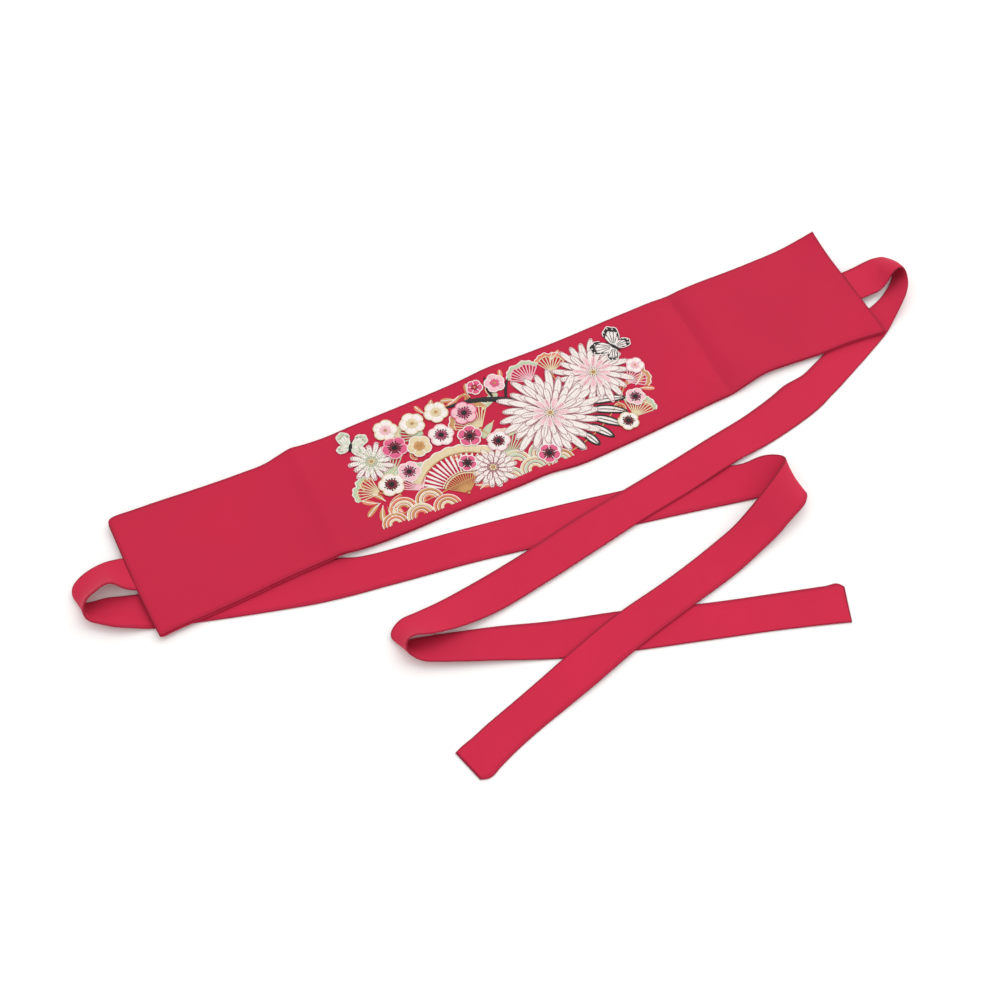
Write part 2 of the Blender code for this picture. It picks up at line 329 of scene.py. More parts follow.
# ---------------------------------------------------------------- meshes
def placed(name, data):
    """A new object in the scene."""
    thing = bpy.data.objects.new(name, data)
    bpy.context.scene.collection.objects.link(thing)
    return thing


def mesh_piece(name, points, faces, material, **attributes):
    """A smooth object with points in mm; each attribute gives its vertices vectors or plain values."""
    mesh = bpy.data.meshes.new(name)
    mesh.from_pydata((points * MM).tolist(), [], faces.tolist())
    mesh.shade_smooth()
    for key, values in attributes.items():
        kind, field = ("FLOAT_VECTOR", "vector") if values.ndim > 1 else ("FLOAT", "value")
        attribute = mesh.attributes.new(key, kind, "POINT")
        attribute.data.foreach_set(field, values.astype(np.float32).ravel())
    mesh.materials.append(material)
    return placed(name, mesh)


def solid_from(name, upper, lower, coords, shade, material):
    """A closed shell between two grids of points, with the cloth's coordinates and its painted shade
    lines.
    """
    rows, columns = upper.shape[:2]
    count = rows * columns
    points = np.concatenate([upper.reshape(-1, 3), lower.reshape(-1, 3)])
    index = np.arange(count).reshape(rows, columns)
    corners = index[:-1, :-1], index[1:, :-1], index[1:, 1:], index[:-1, 1:]
    top = np.stack(corners, axis=-1).reshape(-1, 4)
    bottom = top[:, ::-1] + count
    rim = np.concatenate([index[:, 0], index[-1, 1:], index[-2::-1, -1], index[0, -2:0:-1]])
    after = np.roll(rim, -1)
    side = np.stack([after, rim, rim + count, after + count], axis=-1)
    faces = np.concatenate([top, bottom, side])
    cloth = np.concatenate([coords.reshape(-1, 3)] * 2) * MM
    # painted shade at each point: how far the material darkens the cloth's colour
    pressed = np.concatenate([np.broadcast_to(shade, (rows, columns)).ravel()] * 2)
    return mesh_piece(name, points, faces, material, cloth=cloth, pressed=pressed)


def panel_shells(material):
    """The panel's front and back cloths, bagged out: they meet at a seam round the rounded edge."""
    x = stations(PANEL_LEFT, PANEL_RIGHT, 2.6)[:, None]
    across = stations(-HALF_WIDTH, HALF_WIDTH, 1.9)[None, :] / HALF_WIDTH
    y, low = panel_lie(x, across)
    x_grid = np.broadcast_to(x, y.shape)
    back_y, _, _, front_y, _ = panel_plan(x)
    to_edge = np.minimum(back_y - y, y - front_y)
    to_end = np.minimum(x - x[0], x[-1] - x)
    edge = np.minimum(to_edge, to_end)
    thick = rounding(edge, PANEL_EDGE_ROUND)
    inner = rounding(edge, SEAM_ROUND)
    middle = low + PANEL_THICK / 2
    near_end = np.clip(1 - (x - PANEL_LEFT) / CORNER_REACH, 0, None)
    plan_x = x_grid + CORNER_BACK * near_end * np.minimum(across, 0) ** 2
    layer = PANEL_THICK / 2
    front_rim = middle + layer * 0.5
    back_rim = middle - layer * 0.5
    top = front_rim + (layer * 0.5 + panel_relief(x_grid, y)) * thick
    bottom = np.maximum(back_rim - layer * 0.5 * thick, 0)
    front_inside = front_rim - (layer * 0.5 - SEAM_SLIT) * inner
    back_inside = back_rim + (layer * 0.5 - SEAM_SLIT) * inner
    slack = 1 - smoothstep(-215, -165, x)
    # painted shade: a dark line along the furrow inside the edge, stronger at the slack left end
    line = np.exp(-((edge - EDGE_LINE) / 0.45) ** 2) * (0.3 + 0.2 * slack)
    past = past_valley(x_grid, y)
    # painted shade: a dark band just right of the valley crease, where its flank turns away from the
    # light
    crease = 0.17 * smoothstep(-1.5, 0.5, past) * np.exp(-np.maximum(past, 0) / 8.0)
    shade = np.maximum(pressed_edges(np.minimum(back_y - y, to_end), y - front_y), line + crease)
    lap = BACK_LAP * (0.25 + 0.75 * slack) * np.clip(1 - (y - front_y) / 6, 0, 1)

    def at(z, forward=0):
        return np.stack([plan_x, y - forward, z], axis=-1)

    coords = np.stack([x_grid, y, 0 * y], axis=-1)
    front = solid_from("panel_front_cloth", at(top), at(front_inside), coords, shade, material)
    back = solid_from("panel_back_cloth", at(back_inside, lap), at(bottom, lap), coords,
                      BACK_SHADE * shade, material)
    return front, back


def resample(rows, step):
    """Rows at even steps of length along the middle of the strip."""
    middle = (rows[:, 0:3] + rows[:, 3:6]) / 2
    run = np.concatenate([[0], np.cumsum(np.linalg.norm(np.diff(middle, axis=0), axis=1))])
    s = stations(0, run[-1], step, (0.15, 0.5, 1.0))
    return s, np.stack([np.interp(s, run, rows[:, k]) for k in range(7)], axis=1)


def soften(rows, passes):
    """Rows with each one drawn towards its neighbours, the ends held."""
    for _ in range(passes):
        rows[2:-2] = rows[2:-2] * 0.5 + (rows[1:-3] + rows[3:-1]) * 0.25
    return rows


def tie_shell(name, sections, seam_side, seed, material):
    """One tie: folded double, sewn along one edge, turned and pressed."""
    s, rows = resample(smooth_rows(sections, 16), 1.6)
    rows = soften(rows, 5)
    v = stations(0, TIE_WIDTH, 1.5, (0.1, 0.35, 0.7, 1.2))
    share = (v / TIE_WIDTH)[None, :, None]
    back, front, bow = rows[:, None, 0:3], rows[:, None, 3:6], rows[:, None, 6:7]
    along = np.gradient((back + front) / 2, axis=0)
    outward = unit(np.cross(along, back - front))
    middle = front + (back - front) * share + outward * bow * 4 * share * (1 - share)
    middle[:, :, 2] = np.maximum(middle[:, :, 2], REST)
    normal = grid_normals(middle)
    run = s[:, None]
    from_front = v[None, :]
    to_seam = from_front if seam_side == "front" else TIE_WIDTH - from_front
    to_fold = TIE_WIDTH - to_seam
    to_side = np.minimum(to_seam, to_fold)
    to_end = np.minimum(run, s[-1] - run)
    edge = np.minimum(to_side, to_end)
    half_thick = TIE_THICK / 2 * rounding(edge, TIE_EDGE_ROUND)
    band = 0.10 * (1 - smoothstep(6.5, 9.0, to_seam))
    seam_line = np.exp(-((to_seam - TIE_SEAM_LINE) / 0.55) ** 2)
    groove = -TIE_GROOVE_DEPTH * seam_line
    ripple = 0.10 * puckers(run, to_seam, 10.0, seed) + 0.04 * puckers(run, to_fold, 16.0, seed + 1)
    wave = 0.10 * np.sin(run / 17.0 + 1.5 * np.sin(run / 41.0 + seed) + from_front / 30.0)
    edge_fade = rounding(edge, 2.0)
    swell = (band + groove + ripple + wave * smoothstep(0, 9, to_side)) * edge_fade
    upper = middle + normal * (half_thick + swell)[:, :, None]
    lower = middle - normal * (half_thick + (band + groove) * edge_fade)[:, :, None]
    lower[:, :, 2] = np.maximum(lower[:, :, 2], 0)
    upper[:, :, 2] = np.maximum(upper[:, :, 2], 0)
    coords = np.stack(np.broadcast_arrays(run, from_front, 0.0), axis=-1)
    to_back = np.minimum(TIE_WIDTH - from_front, to_end)
    # painted shade: dark lines along the edges and in the stitched groove
    shade = np.maximum(pressed_edges(to_back, from_front), 0.8 * seam_line)
    return solid_from(name, upper, lower, coords, shade, material)


# ---------------------------------------------------------------- materials
def srgb(red, green, blue):
    """Scene colour of an sRGB triple of 0 to 255."""
    shares = (red / 255, green / 255, blue / 255)
    return tuple(((c + 0.055) / 1.055) ** 2.4 if c > 0.04 else c / 12.92 for c in shares)


class Nodes:
    """A material's node tree, with short calls to add and join nodes."""

    def __init__(self, name):
        self.material = bpy.data.materials.new(name)
        self.material.use_nodes = True
        self.tree = self.material.node_tree
        self.shader = self.tree.nodes["Principled BSDF"]

    def add(self, kind, **settings):
        node = self.tree.nodes.new(kind)
        for key, value in settings.items():
            if key in node.bl_rna.properties:
                setattr(node, key, value)
            else:
                node.inputs[key.replace("_", " ")].default_value = value
        return node

    def join(self, source, target):
        self.tree.links.new(source, target)

    def attribute(self, name):
        return self.add("ShaderNodeAttribute", attribute_type="GEOMETRY", attribute_name=name)

    def math(self, operation, a, b=None):
        node = self.add("ShaderNodeMath", operation=operation)
        for slot, value in zip(node.inputs, (a, b)):
            if value is None:
                continue
            if isinstance(value, (int, float)):
                slot.default_value = value
            else:
                self.join(value, slot)
        return node.outputs[0]

    def ramp(self, factor, stops):
        node = self.add("ShaderNodeValToRGB")
        elements = node.color_ramp.elements
        for element, (position, colour) in zip(elements, (stops[0], stops[-1])):
            element.position = position
            element.color = (*colour, 1)
        for position, colour in stops[1:-1]:
            element = elements.new(position)
            element.color = (*colour, 1)
        self.join(factor, node.inputs[0])
        return node.outputs[0]

    def total(self, *parts):
        """The sum of two outputs, each with its weight."""
        return self.math("ADD", *(self.math("MULTIPLY", output, weight) for output, weight in parts))

    def finish(self, **values):
        """Set inputs of the shader."""
        for key, value in values.items():
            self.shader.inputs[key.replace("_", " ")].default_value = value

    def roughness(self, factor, low, high):
        """Roughness from low to high as the factor runs from 0 to 1."""
        node = self.add("ShaderNodeMapRange", To_Min=low, To_Max=high)
        self.join(factor, node.inputs[0])
        self.join(node.outputs[0], self.shader.inputs["Roughness"])

    def bump(self, height, strength, distance):
        node = self.add("ShaderNodeBump", Strength=strength, Distance=distance)
        self.join(height, node.inputs["Height"])
        self.join(node.outputs[0], self.shader.inputs["Normal"])


def crimson_cloth(name, colour):
    """Plain-woven cotton, softly brushed: an even crimson with faint slubs and a fine weave."""
    n = Nodes(name)
    where = n.attribute("cloth").outputs["Vector"]
    split = n.add("ShaderNodeSeparateXYZ")
    n.join(where, split.inputs[0])
    cloud = n.add("ShaderNodeTexNoise", Scale=9.0, Detail=3.0, Roughness=0.55)
    n.join(where, cloud.inputs["Vector"])
    stretch = n.add("ShaderNodeMapping", vector_type="POINT")
    stretch.inputs["Scale"].default_value = (160.0, 1400.0, 1.0)
    n.join(where, stretch.inputs["Vector"])
    slub = n.add("ShaderNodeTexNoise", Scale=1.0, Detail=2.0)
    n.join(stretch.outputs[0], slub.inputs["Vector"])
    tone = n.total((cloud.outputs["Fac"], 0.7), (slub.outputs["Fac"], 0.3))
    dark = tuple(c * 0.93 for c in colour)
    light = tuple(c * 1.06 for c in colour)
    # painted shade: the colour is darkened towards (0.42, 0.36, 0.42) by the mesh's shade attribute,
    # along edges, seam lines and the right crease
    press = n.add("ShaderNodeMix", data_type="RGBA", blend_type="MULTIPLY")
    n.join(n.math("MULTIPLY", n.attribute("pressed").outputs["Fac"], 0.9), press.inputs[0])
    n.join(n.ramp(tone, ((0.3, dark), (0.7, light))), press.inputs[6])
    press.inputs[7].default_value = (0.42, 0.36, 0.42, 1)
    n.join(press.outputs[2], n.shader.inputs["Base Color"])
    turns = 2 * math.pi / WEAVE_PITCH
    warp, weft = (n.math("SINE", n.math("MULTIPLY", way, turns)) for way in split.outputs[:2])
    weave = n.math("MULTIPLY", warp, weft)
    n.bump(n.total((weave, 0.5), (slub.outputs["Fac"], 1.2)), 0.35, 0.00006)
    n.roughness(cloud.outputs["Fac"], 0.78, 0.92)
    n.finish(Specular_IOR_Level=0.22, Sheen_Weight=0.10, Sheen_Roughness=0.45,
             Sheen_Tint=(1.0, 0.62, 0.68, 1.0))
    return n.material


def embroidery_thread(name, colour):
    """Rayon floss: each stitch has its own tone, a fine twist and a soft gloss."""
    n = Nodes(name)
    tone = n.attribute("tone").outputs["Fac"]
    dark = tuple(c * 0.68 for c in colour)
    light = tuple(min(1.0, c * 1.08) for c in colour)
    n.join(n.ramp(tone, ((0.0, dark), (0.35, colour), (1.0, light))), n.shader.inputs["Base Color"])
    split = n.add("ShaderNodeSeparateXYZ")
    n.join(n.attribute("thread").outputs["Vector"], split.inputs[0])
    twist = n.math("SINE", n.total((split.outputs[0], 9000.0), (split.outputs[1], 5200.0)))
    n.bump(twist, 0.30, 0.00005)
    n.roughness(tone, 0.38, 0.50)
    n.finish(Specular_IOR_Level=0.32, Sheen_Weight=0.05)
    return n.material


# ---------------------------------------------------------------- embroidery
PITCH = 0.85              # spacing of neighbouring stitches, mm
THREAD = 0.98             # width of one laid floss, mm
THREAD_ROUND = 0.24       # how far a floss stands above the dip between two
PRESSED_FLAT = 0.62       # share of its height that the worked thread keeps once ironed
BARB = 1.7                # spacing of the bold slanted stitches of the white petals, mm
BARB_WIDTH = 1.45         # their floss, narrower than the spacing, mm
LONGEST = 9.0             # a longer stitch is worked as several, set like bricks
SHORTEST = 0.35           # a shorter one is left out
RING_RISE = 0.28          # how far each ring of petals lies over the one below
STEM_STITCH = 1.35        # length of one stem stitch of a worked line
# a stitch's cross-sections: shares of its length, and the height and width there
BETWEEN = np.array((0.0, 0.16, 0.5, 0.84, 1.0))
ARCH = np.array((-0.25, 0.80, 1.0, 0.80, -0.25))
TAPER = np.array((0.55, 0.95, 1.0, 0.95, 0.55))
# the points of one cross-section: shares of its width, and the height there
ACROSS = np.array((-0.5, -0.21, 0.21, 0.5))
ROUND = np.array((-0.6, 0.9, 0.9, -0.6))

THREADS = {
    "white": srgb(226, 217, 212),
    "silver": srgb(156, 106, 112),
    "ivory": srgb(210, 193, 156),
    "blush": srgb(224, 176, 184),
    "pink": srgb(206, 84, 122),
    "rose": srgb(154, 24, 54),
    "mint": srgb(176, 190, 158),
    "gold": srgb(188, 138, 84),
    "orange": srgb(206, 126, 90),
    "black": srgb(14, 9, 12),
}
stitches = {thread: [] for thread in THREADS}  # rows of start x, y, end x, y, tone, pad, level, width


def lay(thread, start, end, pad=0.25, level=0.0, width=THREAD):
    """Stitches from each start to each end; pad is how far their middles stand up."""
    start, end = np.atleast_2d(start, end)
    tone = np.clip(0.5 + 0.14 * random.standard_normal(len(start)), 0, 1)
    sizes = (np.broadcast_to(value, len(start)) for value in (pad, level, width))
    rows = np.column_stack([start, end, tone, *sizes])
    stitches[thread].append(rows[np.linalg.norm(end - start, axis=1) > SHORTEST])


def lay_long(thread, start, end, **how):
    """Stitches as lay, with long ones split in staggered lengths."""
    start, end = np.atleast_2d(start, end)
    length = np.linalg.norm(end - start, axis=1)
    parts = np.maximum(1, np.ceil(length / LONGEST)).astype(int)
    for i, count in enumerate(parts):
        cuts = np.arange(1, count) + ((i * 0.382) % 1 - 0.5) * 0.7
        cuts = np.concatenate([[0], cuts, [count]]) / count
        where = start[i] + (end[i] - start[i]) * cuts[:, None]
        overlap = unit(end[i] - start[i]) * 0.25
        lay(thread, where[:-1] - overlap * (cuts[:-1, None] > 0),
            where[1:] + overlap * (cuts[1:, None] < 1), **how)


def arc(start, heading, length, bend, t):
    """Points and headings at shares t of an arc that leaves start."""
    bend = bend if abs(bend) > 1e-4 else 1e-4
    angle = heading + bend * np.asarray(t, dtype=float)
    x = start[0] + length * (np.sin(angle) - math.sin(heading)) / bend
    y = start[1] - length * (np.cos(angle) - math.cos(heading)) / bend
    return np.stack([x, y], axis=-1), angle


def polar(centre, radius, angle):
    x, y = centre
    return np.stack([x + radius * np.cos(angle), y + radius * np.sin(angle)], axis=-1)


def rope(thread, path, width, level):
    """A line of stem stitch along a path: short slanted stitches that overlap."""
    path = np.asarray(path, dtype=float)
    run = np.concatenate([[0], np.cumsum(np.linalg.norm(np.diff(path, axis=0), axis=1))])
    count = max(2, int(run[-1] / STEM_STITCH))
    s = np.linspace(0, run[-1], count + 1)
    points = np.stack([np.interp(s, run, path[:, k]) for k in (0, 1)], axis=1)
    ahead = unit(np.gradient(points, axis=0))
    aside = np.stack([-ahead[:, 1], ahead[:, 0]], axis=1)
    start = points[:-1] - ahead[:-1] * 0.55 - aside[:-1] * width * 0.22
    end = points[1:] + ahead[1:] * 0.55 + aside[1:] * width * 0.22
    lay(thread, start, end, level=level, width=width)


def petal(thread, start, heading, length, width, bend=0.0, belly=0.6, slant=0.35, split=False,
          level=0.0, pitch=PITCH, edge=None, edge_width=0.8, blunt=0.6):
    """A petal or leaf in satin stitch across its axis, or slanted both ways from it."""
    count = max(3, int(length / pitch))
    t = (np.arange(count) + 0.5) / count
    power = math.log(0.5) / math.log(belly)

    def outline(at):
        centre, angle = arc(start, heading, length, bend, at)
        half = width / 2 * np.maximum(np.sin(np.pi * np.asarray(at) ** power), 0) ** blunt
        aside = np.stack([-np.sin(angle), np.cos(angle)], axis=-1) * half[:, None]
        ahead = np.stack([np.cos(angle), np.sin(angle)], axis=-1) * half[:, None] * slant
        return centre, aside, ahead

    centre, aside, ahead = outline(t)
    pad = 0.16 + 0.05 * np.linalg.norm(aside, axis=1)
    floss = BARB_WIDTH if pitch == BARB else THREAD
    if split:
        for side in (1, -1):
            lay(thread, centre - ahead * 0.4, centre + aside * side + ahead, pad=pad * 0.8, level=level,
                width=floss)
    else:
        lay(thread, centre - aside - ahead, centre + aside + ahead, pad=pad, level=level, width=floss)
    if edge:
        fine = np.linspace(0, 1, 24)
        middle, aside, _ = outline(fine)
        rope(edge, np.concatenate([middle - aside, (middle + aside)[::-1]]), edge_width, level + 0.12)


def leaf(thread, rib, start, heading, length, width, bend, edge=None):
    """A leaf worked both ways from its rib."""
    petal(thread, start, heading, length, width, bend, belly=0.45, slant=0.9, split=True, edge=edge,
          edge_width=2.0)
    spine, _ = arc(start, heading, length * 0.92, bend, np.linspace(-0.12, 1, 14))
    rope(rib, spine, 0.8, 0.35)


def rays(thread, centre, inner, outer, start, stop, level, pad, ragged=0.0):
    """Stitches along rays between two radii, numbers or functions of the angle."""
    reach = outer(np.linspace(start, stop, 60)).mean() if callable(outer) else outer
    count = max(3, int(abs(stop - start) * reach / PITCH))
    angle = start + (stop - start) * (np.arange(count) + 0.5) / count
    low = (inner(angle) if callable(inner) else inner) + ragged * (random.random(count) - 0.5)
    high = (outer(angle) if callable(outer) else outer) + ragged * (random.random(count) - 0.5)
    lay_long(thread, polar(centre, low, angle), polar(centre, high, angle), pad=pad, level=level)


def knots(thread, centres, size, level):
    """French knots."""
    centres = np.atleast_2d(centres)
    step = np.array((size / 2, 0.0))
    lay(thread, centres - step, centres + step, pad=size * 0.35, level=level, width=size)


def blossom(centre, size, turn, body, heart, rim, stamens, level):
    """A round flower of notched petals, with stamens round its eye."""
    petals = 5
    eye = size * 0.42
    circle = np.linspace(0, 2 * math.pi, 97)

    def outline(angle):
        part = (angle - turn) * petals / 2
        lobe = np.abs(np.cos(part)) ** 0.55
        notch = np.exp(-((np.sin(part) / 0.14) ** 2))
        return size * (0.74 + 0.26 * lobe - 0.05 * notch)

    rays(body, centre, eye, outline, 0, 2 * math.pi, level=level, pad=0.42, ragged=0.5)
    rays(heart, centre, size * 0.08, eye * 1.12, 0, 2 * math.pi, level=level + 0.08, pad=0.25,
         ragged=size * 0.16)
    rope(rim, polar(centre, outline(circle), circle), 0.9, level + 0.12)
    for k in range(petals):
        angle = turn + (k + 0.5) * 2 * math.pi / petals
        far = outline(np.array([angle]))[0]
        rope(rim, polar(centre, np.linspace(eye, far, 6), angle), 0.75, level + 0.30)
    if stamens:
        count = petals * 3
        for k in range(count):
            angle = turn + k * 2 * math.pi / count
            tip = polar(centre, size * (0.44, 0.56, 0.50)[k % 3], angle)
            lay(stamens, polar(centre, size * 0.14, angle), tip, pad=0.2, level=level + 0.45, width=0.75)
            knots(stamens, tip, 1.3, level + 0.40)
        ring = np.arange(7) * 2 * math.pi / 7
        knots(stamens, polar(centre, size * 0.12, ring), 1.9, level + 0.50)
    else:
        ring = np.arange(8) * 2 * math.pi / 8
        knots(heart, polar(centre, size * 0.20, ring), 1.5, level + 0.40)
        knots("gold", polar(centre, size * 0.07, ring[::2]), 1.4, level + 0.50)


def folding_fan(pivot, size, start, stop, ribs, pleats, trim, sticks, level):
    """An open folding fan: pleats with the cloth showing between them, a scalloped rim, and sticks."""
    sweep = np.linspace(start, stop, 60)

    def scallop(angle):
        wave = np.sin((angle - start) / (stop - start) * math.pi * ribs / 2)
        return size * (0.97 + 0.035 * np.abs(wave))

    rays(trim, pivot, size * 0.84, scallop, start, stop, level=level, pad=0.4)
    rope("white", polar(pivot, scallop(sweep), sweep), 1.1, level + 0.15)
    rope("gold", polar(pivot, size * 0.835, sweep), 0.9, level + 0.15)
    for k in range(ribs + 1):
        angle = start + (stop - start) * k / ribs
        petal(pleats, polar(pivot, size * 0.42, angle), angle, size * 0.40, 2.3, belly=0.7, slant=0.5,
              level=level, blunt=0.35)
        rope(sticks, polar(pivot, np.linspace(size * 0.06, size * 0.42, 12), angle), 0.85, level + 0.05)
    rope("ivory", polar(pivot, size * 0.415, sweep), 1.2, level + 0.25)
    rope("ivory", polar(pivot, size * 0.455, sweep), 0.8, level + 0.20)
    knots(sticks, np.array([pivot]), 2.6, level + 0.4)


def waves(centre, size, bands, level):
    """One scale of the wave pattern: nested half rings."""
    sweep = np.linspace(0, math.pi, 40)
    for k, thread in enumerate(bands):
        outer = size * (1 - k * 0.27)
        rays(thread, centre, outer - size * 0.19, outer, 0, math.pi, level=level, pad=0.3)
        rope("white", polar(centre, outer, sweep), 0.8, level + 0.1)


def chrysanthemum(centre, rings, level):
    """A many-petalled flower; its rings are given from the lowest up."""
    for depth, (count, near, far, width, bend, turn, thread, edge) in enumerate(rings):
        for k in range(count):
            angle = turn + k * 2 * math.pi / count
            reach = far * (1 + 0.10 * math.sin(3.7 * k + depth))
            petal(thread, polar(centre, near, angle), angle - bend * 0.3, reach - near, width, bend,
                  belly=0.66, slant=0.8, split=True, level=level + RING_RISE * depth + 0.05 * (k % 2),
                  pitch=BARB, edge=edge, edge_width=0.7)
    top = level + RING_RISE * len(rings)
    knots("ivory", polar(centre, 2.4, np.arange(7) * 2 * math.pi / 7), 2.0, top)
    knots("gold", np.array([centre]), 2.2, top + 0.1)


def butterfly(centre, turn, size, border, level):
    """A butterfly with pale wings, seen from above; borders and veins share a thread."""
    wings = (
        # from and to, in radians from the head's direction, reach, pinch
        (0.25, 1.45, 1.00, 0.75),
        (1.55, 2.75, 0.74, 0.85),
    )
    for side in (1, -1):
        for low, high, reach, pinch in wings:
            start, stop = turn + side * low, turn + side * high

            def outline(angle):
                t = np.clip((angle - start) / (stop - start), 0, 1)
                taper = pinch * 0.6 * np.abs(2 * t - 0.9) ** 2.2
                return size * reach * (1 - taper + 0.03 * np.sin(t * 21))

            def inner(angle):
                return outline(angle) * 0.78

            first, last = min(start, stop), max(start, stop)
            rays("white", centre, size * 0.07, inner, first, last, level=level, pad=0.35, ragged=0.8)
            rays(border, centre, inner, outline, first, last, level=level + 0.1, pad=0.3, ragged=0.4)
            sweep = np.linspace(first, last, 30)
            for share in (0.2, 0.4, 0.6, 0.8):
                angle = first + (last - first) * share
                far = outline(np.array([angle]))[0]
                vein = polar(centre, np.linspace(size * 0.16, far * 0.8, 10), angle)
                rope(border, vein, 0.6, level + 0.35)
                knots("white", polar(centre, far * 0.89, angle + 0.06), 1.4, level + 0.45)
            rope("white", polar(centre, outline(sweep), sweep), 0.8, level + 0.2)
    tail = polar(centre, size * 0.34, turn + math.pi)
    petal("black", tail, turn, size * 0.58, 3.4, belly=0.5, slant=0.2, level=level + 0.5)
    head = polar(centre, size * 0.24, turn)
    for side in (1, -1):
        feeler, _ = arc(head, turn + side * 0.25, size * 0.42, side * 0.9, np.linspace(0, 1, 10))
        rope("black", feeler, 0.6, level + 0.1)
        knots("black", feeler[-1:], 1.3, level + 0.2)


def ginkgo(foot, turn, size, spread, body, rim, level):
    """A ginkgo leaf: ribs with the cloth showing between them, under a wavy rim."""
    start, stop = turn - spread / 2, turn + spread / 2
    sweep = np.linspace(start, stop, 50)

    def edge(angle):
        lean = (angle - turn) / (spread / 2)
        notch = 0.10 * np.exp(-((lean / 0.13) ** 2))
        return size * (1 - 0.12 * lean**2 - notch + 0.025 * np.sin(angle * 23))

    def under_rim(angle):
        return edge(angle) * 0.84

    rays(rim, foot, under_rim, edge, start, stop, level=level, pad=0.35)
    rope("white", polar(foot, edge(sweep), sweep), 0.85, level + 0.15)
    rope(body, polar(foot, edge(sweep) * 0.83, sweep), 0.85, level + 0.15)
    for angle in np.linspace(start, stop, max(5, int(spread * size * 0.6 / 2.3))):
        rib = polar(foot, np.linspace(size * 0.10, under_rim(angle), 12), angle)
        rope(body, rib, 0.95, level + 0.05)
    stalk, _ = arc(foot, turn + math.pi, size * 0.42, 0.7, np.linspace(-0.08, 1, 12))
    rope("gold", stalk, 1.1, level + 0.1)


def scroll(start, heading, length, turns, thread):
    """A tendril that winds up towards its tip, worked as two lines."""
    t = np.linspace(0, 1, 60)
    angle = heading + turns * 2 * math.pi * t**2.2
    step = length / len(t) * (1 - 0.45 * t)
    ahead = np.stack([np.cos(angle), np.sin(angle)], axis=-1)
    path = np.array(start) + np.cumsum(ahead * step[:, None], axis=0)
    aside = np.stack([-np.sin(angle), np.cos(angle)], axis=-1) * np.sign(turns)
    rope(thread, path, 1.1, 0.0)
    rope("ivory", (path - aside * 1.5)[: len(t) * 3 // 4], 0.8, 0.0)
    knots(thread, path[-1:], 2.0, 0.1)


